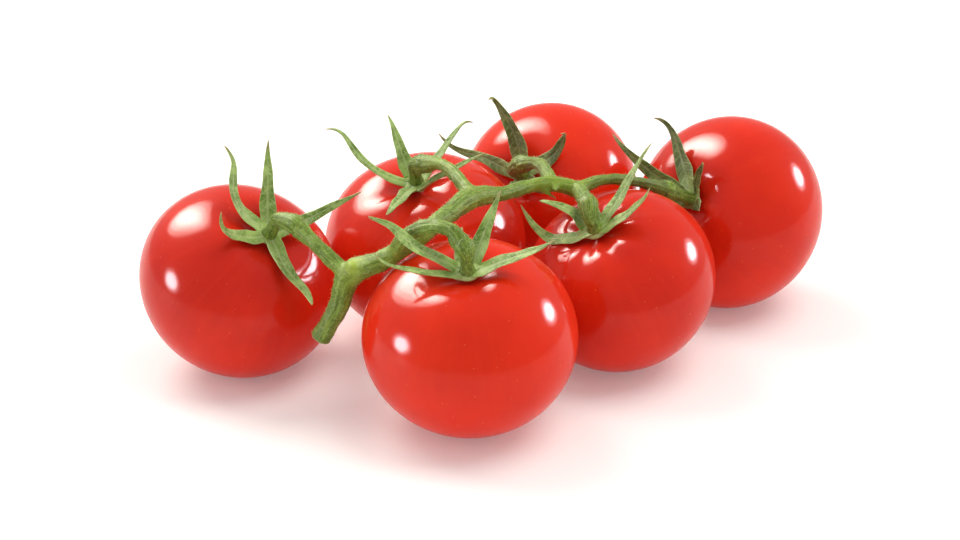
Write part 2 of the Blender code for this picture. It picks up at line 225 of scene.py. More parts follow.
def make_piece(name, points, faces, node, material, attributes):
    """Mesh from points in millimetres, riding on the one body in place of a CAD node."""
    mesh = bpy.data.meshes.new(name)
    mesh.from_pydata((np.asarray(points) * MM).tolist(), [], faces)
    work = bmesh.new()
    work.from_mesh(mesh)
    bmesh.ops.recalc_face_normals(work, faces=work.faces)
    work.to_mesh(mesh)
    work.free()
    for label, values in attributes.items():
        values = np.asarray(values, dtype=np.float32)
        kind = "FLOAT" if values.ndim == 1 else "FLOAT_VECTOR"
        layer = mesh.attributes.new(label, kind, "POINT")
        layer.data.foreach_set("value" if kind == "FLOAT" else "vector", values.ravel())
    mesh.materials.append(material)
    mesh.shade_smooth()
    piece = add_to_scene(name, mesh)
    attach(piece, "root")
    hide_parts(node)


def close_grid(grid):
    """Points and faces of a grid of rings, each ring closed, with a pole at both ends.

    Row r, column c of the grid is joined to its neighbours by one quad, columns wrap
    round, and each end ring is closed by triangles to its own middle.
    """
    rows, columns, _ = grid.shape
    index = np.arange(rows * columns).reshape(rows, columns)
    after = np.roll(index, -1, axis=1)
    quads = np.stack([index[:-1], index[1:], after[1:], after[:-1]], axis=-1).reshape(-1, 4)
    first = rows * columns
    start = np.stack([np.full(columns, first), index[0], after[0]], axis=-1)
    end = np.stack([np.full(columns, first + 1), after[-1], index[-1]], axis=-1)
    points = np.concatenate([grid.reshape(-1, 3), grid[:1].mean(axis=1), grid[-1:].mean(axis=1)])
    return points, quads.tolist() + start.tolist() + end.tolist()


def join_shells(shells):
    """One list of points and one of faces from several closed shells."""
    points = []
    faces = []
    count = 0
    for shell_points, shell_faces in shells:
        points.append(shell_points)
        faces += [[corner + count for corner in face] for face in shell_faces]
        count += len(shell_points)
    return np.concatenate(points), faces


def hair_shells(roots, outward, seed):
    """Fine hairs, each a thin three-sided spike.  It stands on its root along the outward
    direction plus a random lean, and the three corners of its foot are spread round it."""
    chance = np.random.default_rng(seed)
    count = len(roots)
    way = unit(outward + chance.normal(0, HAIR_LEAN, (count, 3)))
    aside = unit(np.cross(way, ANY_WAY))
    ahead = np.cross(way, aside)
    corners = np.empty((count, 4, 3))
    for corner, turn in enumerate((0.0, 2 * np.pi / 3, 4 * np.pi / 3)):
        spoke = aside * math.cos(turn) + ahead * math.sin(turn)
        corners[:, corner] = roots - HAIR_ROOT * way + HAIR_WIDTH * spoke
    corners[:, 3] = roots + way * chance.uniform(*HAIR_LENGTH, (count, 1))
    first = 4 * np.arange(count)[:, None, None]
    spike = np.array([(0, 1, 3), (1, 2, 3), (2, 0, 3), (2, 1, 0)])
    return corners.reshape(-1, 3), (first + spike).reshape(-1, 3).tolist()


def smooth_step(values, low, high):
    """0 below low, 1 above high, and between them 3 x squared less 2 x cubed."""
    share = np.clip((values - low) / (high - low), 0, 1)
    return share * share * (3 - 2 * share)


def bell(values, middle, width):
    """Smooth hump, 1 at the middle: e to the minus square of the distance over the width."""
    return np.exp(-((values - middle) / width) ** 2)


def unit(vectors):
    """Vectors scaled to length 1, row by row."""
    return vectors / np.linalg.norm(vectors, axis=-1, keepdims=True)


def full_turn(columns):
    """Angles once round, as one row."""
    return np.linspace(0, 2 * np.pi, columns, endpoint=False)[None, :]


def round_axis(across, around, up):
    """Points at a distance across from the axis, toward a compass around, at a height."""
    return np.stack([across * np.cos(around), across * np.sin(around), up], axis=-1)


def add_hairs(points, faces, picked, outward, seed):
    """Joins hairs to a skin at its picked points.  Also gives the skin's point that each
    point belongs to, and 1 for the points of hairs and 0 for the skin's own."""
    owner = np.concatenate([np.arange(len(points)), np.repeat(picked, 4)])
    hair = (np.arange(len(owner)) >= len(points)).astype(float)
    hairs = hair_shells(points[picked], outward, seed)
    return *join_shells([(points, faces), hairs]), owner, hair


# ------------------------ fruits
def lean_matrix(number):
    """3x3 turn that leans a fruit's axis over toward its compass direction."""
    fruit = FRUITS[number]
    turn = Matrix.Rotation(math.radians(fruit["toward"]), 3, "Z")
    lean = Matrix.Rotation(math.radians(fruit["lean"]), 3, "Y")
    return np.array(turn @ lean @ turn.inverted())


def skin_shape(number, polar, around):
    """The CAD's globe: across = sin(polar) widened above the middle, up = cos(polar)
    flattened, less a bell-shaped cavity and scar and a ring of furrows."""
    fruit = FRUITS[number]
    across = np.sin(polar) * (1 + SHOULDER * np.cos(polar))
    up = HALF_HEIGHT * np.cos(polar)
    top = np.cos(polar) > 0
    wave = 0.5 - 0.5 * np.cos(fruit["lobes"] * around + math.radians(fruit["turn"]))
    up = up - top * CAVITY_DEPTH * bell(across, 0, CAVITY_WIDTH)
    up = up - top * LOBE_DEPTH * wave * bell(across, LOBE_PLACE, LOBE_WIDTH)
    up = up + ~top * SCAR_DEPTH * bell(across, 0, SCAR_WIDTH)
    return across * fruit["radius"], up * fruit["radius"]


def shoulder_height(number, across):
    """Height of the skin's lobes at a distance from the fruit's axis.  The polar angle
    that belongs to the distance is found by putting it back into itself four times."""
    share = np.minimum(across / FRUITS[number]["radius"], 1.0)
    polar = np.arcsin(share)
    for _ in range(4):
        polar = np.arcsin(np.minimum(share / (1 + SHOULDER * np.cos(polar)), 1.0))
    height = HALF_HEIGHT * np.cos(polar) - CAVITY_DEPTH * bell(share, 0, CAVITY_WIDTH)
    return height * FRUITS[number]["radius"]


def fruit_grid(number):
    """The globe on a grid of polar angle and compass, rows closer together at its ends,
    with small puckers out of the cavity and a slow, slight unevenness all over."""
    even = np.linspace(FIRST_ROW, LAST_ROW, DOWN)[:, None]
    polar = np.pi * (even - ROW_CROWDING * np.sin(2 * np.pi * even))
    polar, around = np.broadcast_arrays(polar, full_turn(AROUND))
    across, up = skin_shape(number, polar, around)
    radius = FRUITS[number]["radius"]
    folds = np.sin(7 * around + number) + 0.5 * np.sin(12 * around + 2.3 * number)
    fade = bell(across / radius, PUCKER_PLACE, PUCKER_WIDTH) * (np.cos(polar) > 0)
    up = up + PUCKER_DEPTH * radius * folds * fade
    slow = np.cos(2 * around + number) + 0.5 * np.sin(3 * around + 1.7 * number)
    across = across * (1 + UNEVEN * slow * np.sin(polar) ** 2)
    return round_axis(across, around, up), polar, around


def place_fruits():
    """Centre of each fruit, from the CAD node's box and the box of the leaned shape."""
    for number, fruit in FRUITS.items():
        low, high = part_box(f"fruit_{number}")
        half_turn = np.linspace(0, np.pi, 90)
        polar, around = np.meshgrid(half_turn, 2 * half_turn)
        across, up = skin_shape(number, polar, around)
        shape = round_axis(across, around, up).reshape(-1, 3) @ lean_matrix(number).T
        middle = (np.array(low) + np.array(high)) / 2 / MM
        centre = middle - (shape.min(axis=0) + shape.max(axis=0)) / 2
        centre[2] = high.z / MM - shape[:, 2].max()
        fruit["centre"] = centre


def to_truss(number, points):
    """Leans points from a fruit's own frame into the truss."""
    return points @ lean_matrix(number).T + FRUITS[number]["centre"]


def make_fruit(number):
    """Skin of one fruit, pressed flat where it rests."""
    grid, polar, around = fruit_grid(number)
    points, faces = close_grid(grid)
    points = to_truss(number, points)
    points[:, 2] = np.maximum(points[:, 2], 0.0)
    polar = np.append(polar.ravel(), (0.0, np.pi))
    around = np.append(around.ravel(), (0.0, 0.0))
    ray = np.stack([np.cos(around), np.sin(around), polar], axis=-1)
    ray[-2:, :2] = 0.0
    make_piece(f"fruit_{number}_skin", points, faces, f"fruit_{number}",
               tomato_skin(number), {"ray": ray})


# ------------------------ calyxes
def sepal_spine(sepal, share):
    """Middle line of a sepal: its slope falls evenly by twice the bend from root to tip
    and turns by the hook over the last part; distance and height are its running sums.
    Its compass goes from the root's to the tip's, fastest near the root, and sways."""
    root, tip, slope, length, bend, _, hook, sway, _ = sepal
    angle = slope + bend * (1 - 2 * share) + hook * smooth_step(share, HOOK_START, 1.0)
    angle = np.radians(angle)
    step = np.diff(share, prepend=share[0]) * (length - HUB_RADIUS)
    across = HUB_RADIUS + np.cumsum(np.cos(angle) * step)
    height = np.cumsum(np.sin(angle) * step)
    compass = root + (tip - root) * share ** 0.8 + sway * np.sin(2 * np.pi * share)
    return round_axis(across, np.radians(compass), height)


def blade_lift(share, half, side, turn, seed):
    """How far a blade's skin stands above its spine: both edges folded up, half a
    thickness times the sine of the turn, a groove above and a rib below along the middle,
    and edges that wave together and tilt by turns."""
    upper = np.sin(turn) >= 0
    thick = (SEPAL_THICK - SEPAL_THINNING * share) * np.minimum((1.02 - share) / 0.12, 1.0)
    lift = (SEPAL_FOLD - FOLD_LOSS * share) * half * np.sqrt(side ** 2 + 0.02)
    lift = lift + 0.5 * thick * np.sin(turn)
    lift = lift - GROOVE_DEPTH * bell(side, 0, GROOVE_WIDTH) * upper * np.minimum(half, 1.0)
    lift = lift - MIDRIB_DEPTH * bell(side, 0, MIDRIB_WIDTH) * ~upper * np.minimum(half, 1.0)
    lift = lift + EDGE_WAVE * side ** 2 * np.sin(15 * share + 1.9 * seed) * half
    return lift + EDGE_TILT * side * np.sin(9 * share + seed) * half


def sepal_shell(number, sepal, seed):
    """A blade carried along its spine, twisting as it goes and lifted clear of the skin.
    Its half width swells out of the root and falls to a point at the tip, as one less the
    share of the way to the power 1.2."""
    out = np.linspace(-SEPAL_TAIL, 1.0, SEPAL_ROWS)
    share = np.maximum(out, 0)
    root = math.radians(sepal[0])
    toward = np.array([math.cos(root), math.sin(root), 0])
    spine = sepal_spine(sepal, share) + np.minimum(out, 0)[:, None] * sepal[3] * toward
    spine[:, 2] += shoulder_height(number, HUB_RADIUS) + HUB_CLEAR + HUB_RISE - SEPAL_SINK
    along = unit(np.gradient(spine, axis=0))
    aside = unit(np.cross(np.array([0.0, 0.0, 1.0]), along))
    above = np.cross(along, aside)
    twist = np.radians(sepal[8] * share)[:, None]
    aside, above = (aside * np.cos(twist) + above * np.sin(twist),
                    above * np.cos(twist) - aside * np.sin(twist))
    swell = SEPAL_NECK + SEPAL_BELLY * np.minimum(share / BELLY_PLACE, 1.0)
    half = sepal[5] * swell * (1 - share ** 1.2) ** 0.98 + SEPAL_EDGE
    half = half * (1 + SEPAL_WAVY * np.sin(17 * share + seed))
    half[-1] = SEPAL_TIP
    half = half[:, None]
    turn = full_turn(SEPAL_COLUMNS)
    side = np.cos(turn)
    lift = blade_lift(share[:, None], half, side, turn, seed)
    grid = spine[:, None, :] + aside[:, None, :] * (half * side)[..., None]
    grid = grid + above[:, None, :] * lift[..., None]
    reach = np.linalg.norm(grid[..., :2], axis=-1)
    clear = shoulder_height(number, reach) + SKIN_CLEAR * (2 + np.sin(turn))
    lifted = np.maximum(grid[..., 2], clear)
    grid[..., 2] = np.where(reach > HUB_RADIUS, lifted, grid[..., 2])
    points, faces = close_grid(grid)
    leaf = np.stack([np.broadcast_to(share[:, None], lift.shape),
                     np.broadcast_to(side, lift.shape)], axis=-1).reshape(-1, 2)
    return points, faces, np.concatenate([leaf, [[0, 0], [1, 0]]])


def hub_shell(number):
    """Low dome between the sepals' roots: a profile turned about the axis, whose rim
    swells toward each sepal.  It has a small peak in the middle and lies on the skin."""
    turn = full_turn(HUB_COLUMNS)
    profile = np.linspace(0.06, 0.97, HUB_ROWS)[:, None] * np.pi
    swell = np.zeros_like(turn)
    for sepal in SEPALS[number]:
        off = np.angle(np.exp(1j * (turn - math.radians(sepal[0]))))
        swell = swell + bell(off, 0, SWELL_TURN)
    rim = HUB_RADIUS - HUB_INSET + HUB_SWELL * np.minimum(swell, SWELL_LIMIT)
    across = np.sin(profile) ** 0.8 * rim
    middle = shoulder_height(number, HUB_RADIUS) + HUB_BASE + HUB_HALF
    peak = HUB_PEAK * bell(across, 0, PEAK_REACH) * (profile < np.pi / 2)
    up = middle + HUB_HALF * np.cos(profile) + peak
    up = np.maximum(up, shoulder_height(number, across) + HUB_GAP)
    points, faces = close_grid(round_axis(across, turn, up))
    return points, faces, np.zeros((len(points), 2))


def make_calyx(number):
    """Hub and sepals of one fruit."""
    parts = [hub_shell(number)]
    for order, sepal in enumerate(SEPALS[number]):
        parts.append(sepal_shell(number, sepal, 1.0 + order + 0.37 * number))
    points, faces = join_shells([part[:2] for part in parts])
    leaf = np.pad(np.concatenate([part[2] for part in parts]), ((0, 0), (0, 1)))
    make_piece(f"calyx_{number}_leaves", to_truss(number, points), faces, f"calyx_{number}",
               sepal_leaf(number), {"leaf": leaf})


# ------------------------ stem and pedicels
def smooth_route(points):
    """Catmull-Rom curve through (x, y, z, radius) points, in steps of about ROUTE_STEP."""
    knots = np.array(points, dtype=float)
    knots = np.vstack([2 * knots[0] - knots[1], knots, 2 * knots[-1] - knots[-2]])
    runs = []
    for a, b, c, d in zip(knots, knots[1:], knots[2:], knots[3:]):
        pieces = max(2, round(float(np.linalg.norm((c - b)[:3])) / ROUTE_STEP))
        t = np.linspace(0, 1, pieces, endpoint=False)[:, None]
        runs.append(0.5 * (2 * b + (c - a) * t + (2 * a - 5 * b + 4 * c - d) * t ** 2
                           + (3 * b - a - 3 * c + d) * t ** 3))
    runs.append(knots[-2:-1])
    return np.vstack(runs)


def route_frames(route):
    """Directions along, up and aside at each point of a route, turned as little as can be."""
    along = unit(np.gradient(route[:, :3], axis=0))
    up = np.zeros_like(along)
    normal = np.array([0.3, 0.2, 1.0])
    for place, direction in enumerate(along):
        normal = unit(normal - direction * normal.dot(direction))
        up[place] = normal
    return along, up, np.cross(along, up)


def round_ends(route, first, last, depth):
    """Adds three shrinking stations past the wanted ends, so that a tube closes there in a
    low dome of the given depth."""
    along, _, _ = route_frames(route)
    bow = np.radians([28, 56, 82])[:, None]
    pieces = [route]
    for wanted, place, sign in ((first, 0, -1), (last, -1, 1)):
        if not wanted:
            continue
        centre = route[place, :3] + sign * along[place] * depth * np.sin(bow)
        dome = np.hstack([centre, route[place, 3] * np.cos(bow)])
        pieces = [dome[::-1]] + pieces if sign < 0 else pieces + [dome]
    return np.vstack(pieces)


def tube_grid(route, sides):
    """Rings of a tube about a route, and each point's angle round it."""
    _, up, aside = route_frames(route)
    turn = full_turn(sides)
    spokes = up[:, None] * np.cos(turn)[..., None] + aside[:, None] * np.sin(turn)[..., None]
    rings = route[:, None, :3] + spokes * route[:, None, 3:4]
    return rings, np.broadcast_to(turn, spokes.shape[:2])


def pedicel_route(number):
    """From inside the hub up the fruit's axis and over into the knuckle's rounded end."""
    rim = shoulder_height(number, HUB_RADIUS) + HUB_CLEAR + HUB_RISE
    route = []
    for share, extra, radius in PEDICEL_FOOT:
        height = rim + share * PEDICEL_RISE[number] + extra
        route.append((*to_truss(number, np.array([0, 0, height])), radius))
    before, joint = (np.array(point[:3]) for point in BRANCHES[number][-2:])
    for distance, radius in PEDICEL_HEAD:
        route.append((*(joint + distance * unit(joint - before)), radius))
    return round_ends(smooth_route(route), False, True, STALK_DOME)


def make_pedicel(number):
    """Tube along the pedicel's route, its radius waving round it as fine ribs, with hairs
    on all but its first quarter.  strand holds the cosine and sine of the angle round it
    and the length along it."""
    route = pedicel_route(number)
    middle = route[:, None, :3]
    grid, turn = tube_grid(route, STALK_SIDES)
    steps = np.diff(route[:, :3], axis=0, prepend=route[:1, :3])
    length = np.cumsum(np.linalg.norm(steps, axis=1))
    rib = STALK_RIBS[0] * np.cos(RIBS * turn + 0.12 * length[:, None])
    rib = rib + STALK_RIBS[1] * np.sin(5 * turn + number)
    widen = 1 + rib / np.maximum(route[:, 3], 1.0)[:, None]
    grid = middle + (grid - middle) * widen[..., None]
    points, faces = close_grid(grid)
    run = np.broadcast_to(length[:, None], turn.shape)
    strand = np.stack([np.cos(turn), np.sin(turn), run], axis=-1).reshape(-1, 3)
    strand = np.concatenate([strand, [[0, 0, 0], [0, 0, length[-1]]]])
    open_part = np.arange(len(route) // 4 * STALK_SIDES, len(route) * STALK_SIDES)
    picked = np.random.default_rng(number).choice(open_part, PEDICEL_HAIRS, replace=False)
    outward = unit((grid - middle).reshape(-1, 3)[picked])
    points, faces, owner, hair = add_hairs(points, faces, picked, outward, number)
    make_piece(f"pedicel_{number}_stalk", points, faces, f"pedicel_{number}",
               green_stalk(f"pedicel_{number}_green", number),
               {"strand": strand[owner], "hair": hair})


def knob_route(foot, tip, radius):
    """Short blunt cone from a foot to a tip."""
    share = np.linspace(0, 1, 9)[:, None]
    line = np.array(foot) + (np.array(tip) - np.array(foot)) * share
    return np.hstack([line, radius * (1 - 0.55 * share ** 1.5)])


def fused_stem(routes):
    """Points, edges and faces of all the stem's tubes fused into one skin on a fine grain."""
    shells = []
    for route, first, last in routes:
        rounded = round_ends(route, first, last, STEM_DOME)
        shells.append(close_grid(tube_grid(rounded, STEM_SIDES)[0]))
    points, faces = join_shells(shells)
    mesh = bpy.data.meshes.new("stem_tubes")
    mesh.from_pydata((points * MM).tolist(), [], faces)
    tubes = add_to_scene("stem_tubes", mesh)
    fuse = tubes.modifiers.new("fuse", "REMESH")
    fuse.mode = "VOXEL"
    fuse.voxel_size = STEM_VOXEL * MM
    graph = bpy.context.evaluated_depsgraph_get()
    fused = bpy.data.meshes.new_from_object(tubes.evaluated_get(graph))
    bpy.data.objects.remove(tubes)
    points = np.empty(len(fused.vertices) * 3)
    fused.vertices.foreach_get("co", points)
    edges = np.empty(len(fused.edges) * 2, dtype=np.int64)
    fused.edges.foreach_get("vertices", edges)
    faces = [list(face.vertices) for face in fused.polygons]
    bpy.data.meshes.remove(fused)
    return points.reshape(-1, 3) / MM, edges.reshape(-1, 2), faces


def relax(points, edges, weight, rounds):
    """Moves each point part of the way to the mean of its neighbours, round by round."""
    count = np.bincount(edges.ravel(), minlength=len(points))[:, None]
    for _ in range(rounds):
        total = np.zeros_like(points)
        for axis in range(3):
            total[:, axis] = (np.bincount(edges[:, 0], points[edges[:, 1], axis], len(points))
                              + np.bincount(edges[:, 1], points[edges[:, 0], axis], len(points)))
        points = points + weight * (total / count - points)
    return points


def nearest_on_routes(points, stations):
    """Index of the nearest station to each point, found in blocks."""
    block = 4000
    nearest = np.empty(len(points), dtype=np.int64)
    for start in range(0, len(points), block):
        gaps = points[start:start + block, None, :] - stations[None, :, :]
        nearest[start:start + block] = (gaps ** 2).sum(axis=-1).argmin(axis=1)
    return nearest


def stem_routes():
    """Routes of the main stem, its branches and its knobs, each with whether its first and
    its last end are rounded.  A branch swells toward its knuckle."""
    routes = [(smooth_route(MAIN_STEM), False, True)]
    for points in BRANCHES.values():
        branch = smooth_route(points)
        to_knuckle = ROUTE_STEP * np.arange(len(branch))[::-1]
        branch[:, 3] += KNUCKLE_SWELL * bell(to_knuckle, 0, SWELL_REACH)
        routes.append((branch, True, True))
    return routes + [(knob_route(*knob), True, True) for knob in KNOBS]


def around_spines(points, spines):
    """For each point, the nearest station of the spines: its offset and distance from it,
    its angle round the spine and the length along it."""
    frames = [route_frames(spine) for spine in spines]
    up = np.vstack([frame[1] for frame in frames])
    aside = np.vstack([frame[2] for frame in frames])
    stations = np.vstack([spine[:, :3] for spine in spines])
    length = np.concatenate([np.arange(len(spine)) * ROUTE_STEP + 40.0 * order
                             for order, spine in enumerate(spines)])
    nearest = nearest_on_routes(points, stations)
    offset = points - stations[nearest]
    distance = np.linalg.norm(offset, axis=1, keepdims=True)
    turn = np.arctan2((offset * aside[nearest]).sum(axis=1), (offset * up[nearest]).sum(axis=1))
    return offset, distance, turn, length[nearest]


def make_stem():
    """Main stem, side branches and knobs fused and smoothed where they meet.  Then each
    point is pushed away from its spine by fine ribs along it and slow lumps, except on the
    face of the cut end."""
    routes = stem_routes()
    main = routes[0][0]
    spines = [route for route, _, _ in routes[:1 + len(BRANCHES)]]
    points, edges, faces = fused_stem(routes)
    forks = [spine[0, :3] for spine in spines[1:]] + [knob[0] for knob in KNOBS]
    fork_gap = ((points[:, None, :] - np.array(forks)[None]) ** 2).sum(axis=-1).min(axis=1)
    near_fork = bell(np.sqrt(fork_gap), 0, FORK_REACH)
    pale = bell(np.linalg.norm(points - np.array(KNOBS[0][1]), axis=1), 0, PALE_REACH)
    points = relax(points, edges, *RELAX_ALL)
    points = relax(points, edges, RELAX_FORKS[0] * near_fork[:, None], RELAX_FORKS[1])
    offset, distance, turn, run = around_spines(points, spines)
    outward = offset / np.maximum(distance, LEAST_RADIUS)
    ribs = np.cos(RIBS * turn + 0.10 * run) + 0.6 * np.cos(5 * turn - 0.07 * run)
    push = RIB_HEIGHT * (1 - FORK_CALM * near_fork) * ribs
    push = push + LUMPS[0] * np.sin(0.55 * run + 2 * turn) + LUMPS[1] * np.sin(1.3 * run - turn)
    from_end = points - main[0, :3]
    on_face = from_end @ unit(main[1, :3] - main[0, :3]) < CUT_DEPTH
    cut = (np.linalg.norm(from_end, axis=1) < CUT_REACH) & on_face
    points = points + outward * np.where(cut, 0.0, push)[:, None]
    strand = np.stack([np.cos(turn), np.sin(turn), run], axis=-1)
    picked = np.random.default_rng(5).choice(np.flatnonzero(~cut), HAIRS, replace=False)
    points, faces, owner, hair = add_hairs(points, faces, picked, outward[picked], 6)
    make_piece("rachis_stem", points, faces, "rachis",
               green_stalk("stem_green", 0, cut=True),
               {"strand": strand[owner], "cut": cut[owner].astype(float),
                "fork": near_fork[owner], "pale": pale[owner], "hair": hair})


# ------------------------ finishes
COLOURS = {
    "deep red": (0.50, 0.012, 0.006),
    "bright red": (0.82, 0.028, 0.003),
    "streak red": (0.88, 0.06, 0.009),
    "crown red": (0.56, 0.009, 0.005),
    "speck orange": (0.85, 0.18, 0.055),
    "scar brown": (0.16, 0.075, 0.03),
    "leaf dark": (0.13, 0.24, 0.03),
    "leaf light": (0.42, 0.60, 0.18),
    "aged leaf dark": (0.035, 0.048, 0.009),
    "aged leaf light": (0.125, 0.14, 0.032),
    "leaf down": (0.56, 0.66, 0.32),
    "leaf pit": (0.06, 0.13, 0.015),
    "leaf root": (0.34, 0.50, 0.12),
    "leaf midrib": (0.50, 0.60, 0.28),
    "leaf vein": (0.46, 0.56, 0.24),
    "leaf hem": (0.46, 0.50, 0.24),
    "dry tip": (0.46, 0.36, 0.17),
    "stalk dark": (0.105, 0.18, 0.016),
    "stalk light": (0.25, 0.38, 0.055),
    "stalk yellow": (0.25, 0.33, 0.04),
    "stalk shade": (0.055, 0.085, 0.008),
    "stalk pimple": (0.36, 0.44, 0.12),
    "stalk down": (0.46, 0.60, 0.22),
    "stalk pit": (0.045, 0.085, 0.01),
    "fork green": (0.30, 0.43, 0.035),
    "bud green": (0.46, 0.60, 0.07),
    "stalk far end dark": (0.075, 0.095, 0.018),
    "pith pale": (0.42, 0.44, 0.2),
    "pith green": (0.2, 0.22, 0.07),
    "hair": (0.52, 0.66, 0.26),
    "floor": (0.89, 0.89, 0.89),
    "floor light": (0.91, 0.91, 0.91),
}
# What is the same all over each finish, by the shader's own sockets.
TOMATO_BODY = {
    "Coat Weight": 0.55, "Coat Roughness": 0.1, "Coat IOR": 1.4, "Specular IOR Level": 0.02,
    "Subsurface Weight": 0.1, "Subsurface Scale": 0.003, "Subsurface Radius": (1.0, 0.18, 0.08),
}
LEAF_BODY = {
    "Specular IOR Level": 0.2, "Subsurface Weight": 0.15, "Subsurface Scale": 0.0015,
    "Subsurface Radius": (0.5, 1.0, 0.2),
}
STALK_BODY = {
    "Specular IOR Level": 0.2, "Subsurface Weight": 0.2, "Subsurface Scale": 0.002,
    "Subsurface Radius": (0.6, 1.0, 0.25),
}
# The floor's emission is painted light: a faint glow that lifts the shadows on the floor and lights
# the fruits from below.
GLOWING_FLOOR_BODY = {
    "Roughness": 0.7, "Specular IOR Level": 0.2, "Emission Color": (1.0, 1.0, 1.0, 1.0),
    "Emission Strength": 0.16,
}


class Socket:
    """A shader socket that Python arithmetic can use: each operator adds its Math node."""

    def __init__(self, finish, output):
        self.finish = finish
        self.output = output

    def maths(self, operation, first, second=0.0):
        return self.finish.node("ShaderNodeMath", {"operation": operation}, {0: first, 1: second})

    def __add__(self, other):
        return self.maths("ADD", self, other)

    def __radd__(self, other):
        return self.maths("ADD", other, self)

    def __sub__(self, other):
        return self.maths("SUBTRACT", self, other)

    def __rsub__(self, other):
        return self.maths("SUBTRACT", other, self)

    def __mul__(self, other):
        return self.maths("MULTIPLY", self, other)

    def __rmul__(self, other):
        return self.maths("MULTIPLY", other, self)

    def __abs__(self):
        return self.maths("ABSOLUTE", self)


class Finish:
    """Builds one material about its Principled shader."""

    def __init__(self, name, constants):
        self.material = bpy.data.materials.new(name)
        self.material.use_nodes = True
        self.tree = self.material.node_tree
        self.shader = self.tree.nodes["Principled BSDF"]
        for label, value in constants.items():
            self.shader.inputs[label].default_value = value

    def node(self, kind, settings=None, sockets=None, output=0):
        """Adds a node: settings first, then its sockets' values or links."""
        made = self.tree.nodes.new(kind)
        for label, value in (settings or {}).items():
            setattr(made, label, value)
        for label, value in (sockets or {}).items():
            self.feed(made.inputs[label], value)
        return Socket(self, made.outputs[output])

    def feed(self, socket, value):
        """Links a Socket, or sets a plain value."""
        if isinstance(value, Socket):
            self.tree.links.new(value.output, socket)
        else:
            socket.default_value = value

    def feed_shader(self, **channels):
        """Feeds the shader's own sockets by name, such as Base_Color."""
        for label, value in channels.items():
            self.feed(self.shader.inputs[label.replace("_", " ")], value)

    def place(self):
        """Position on the object, in metres."""
        return self.node("ShaderNodeTexCoord", output="Object")

    def attribute(self, name):
        """A vector stored on the mesh."""
        return self.node("ShaderNodeAttribute", {"attribute_name": name}, output="Vector")

    def number(self, name):
        """A number stored on the mesh."""
        return self.node("ShaderNodeAttribute", {"attribute_name": name}, output="Fac")

    def parts(self, vector):
        """The three parts of a vector."""
        split = self.node("ShaderNodeSeparateXYZ", sockets={0: vector})
        return [Socket(self, output) for output in split.output.node.outputs]

    def stretch(self, vector, scale):
        """A vector scaled differently along each axis."""
        return self.node("ShaderNodeVectorMath", {"operation": "MULTIPLY"}, {0: vector, 1: scale})

    def noise(self, vector, scale, detail=2.0, rough=0.5):
        """Soft cloud pattern, about 0.5 on average."""
        return self.node("ShaderNodeTexNoise", sockets={
            "Vector": vector, "Scale": scale, "Detail": detail, "Roughness": rough})

    def cells(self, vector, scale):
        """Distance to the middle of the nearest of many random cells."""
        return self.node("ShaderNodeTexVoronoi", sockets={"Vector": vector, "Scale": scale})

    def step(self, value, low, high):
        """Smooth step from 0 at low to 1 at high."""
        return self.node("ShaderNodeMapRange", {"interpolation_type": "SMOOTHSTEP"}, {
            "Value": value, "From Min": low, "From Max": high})

    def mix(self, factor, first, second):
        """Two colours mixed by a factor.  A colour is a Socket or a name in COLOURS."""
        first, second = ((*COLOURS[colour], 1.0) if isinstance(colour, str) else colour
                         for colour in (first, second))
        return self.node("ShaderNodeMix", {"data_type": "RGBA"},
                         {0: factor, 6: first, 7: second}, output=2)

    def bump(self, height, relief, below=None):
        """Normal raised by a height, with its full relief given in metres."""
        sockets = {"Height": height, "Distance": relief, "Strength": 1.0}
        if below:
            sockets["Normal"] = below
        return self.node("ShaderNodeBump", sockets=sockets)


def tomato_skin(number):
    """Waxy ripe skin: clouds of deeper and brighter red, faint streaks from crown to
    blossom end, pale pin-point speckles, and a fine orange-peel relief."""
    finish = Finish(f"tomato_skin_{number}", TOMATO_BODY)
    place = finish.place()
    ray = finish.attribute("ray")
    polar = finish.parts(ray)[2]
    clouds = finish.step(finish.noise(place, scale=42.0, detail=3.0), low=0.3, high=0.72)
    glow = RIPENESS[number] + 0.3 * (clouds - 0.5)
    colour = finish.mix(glow, "deep red", "bright red")
    streaks = finish.noise(finish.stretch(ray, (7.0, 7.0, 0.6)), scale=1.6, detail=4.0, rough=0.6)
    colour = finish.mix(finish.step(streaks, low=0.42, high=0.8) * 0.1, colour, "streak red")
    crown = 1 - finish.step(polar, low=0.1, high=0.55)
    colour = finish.mix(crown * 0.35, colour, "crown red")
    specks = 1 - finish.step(finish.cells(place, scale=420.0), low=0.05, high=0.13)
    specks = specks * finish.step(finish.noise(place, scale=300.0), low=0.45, high=0.6)
    colour = finish.mix(specks * 0.4, colour, "speck orange")
    scar = finish.step(polar, low=3.06, high=3.1)
    colour = finish.mix(scar, colour, "scar brown")
    normal = finish.bump(finish.noise(place, scale=120.0), relief=0.00016)
    normal = finish.bump(finish.noise(place, scale=620.0), 0.000022, below=normal)
    finish.feed_shader(Base_Color=colour, Normal=normal,
                       Roughness=0.45 + 0.10 * finish.noise(place, scale=160.0, detail=3.0))
    return finish.material


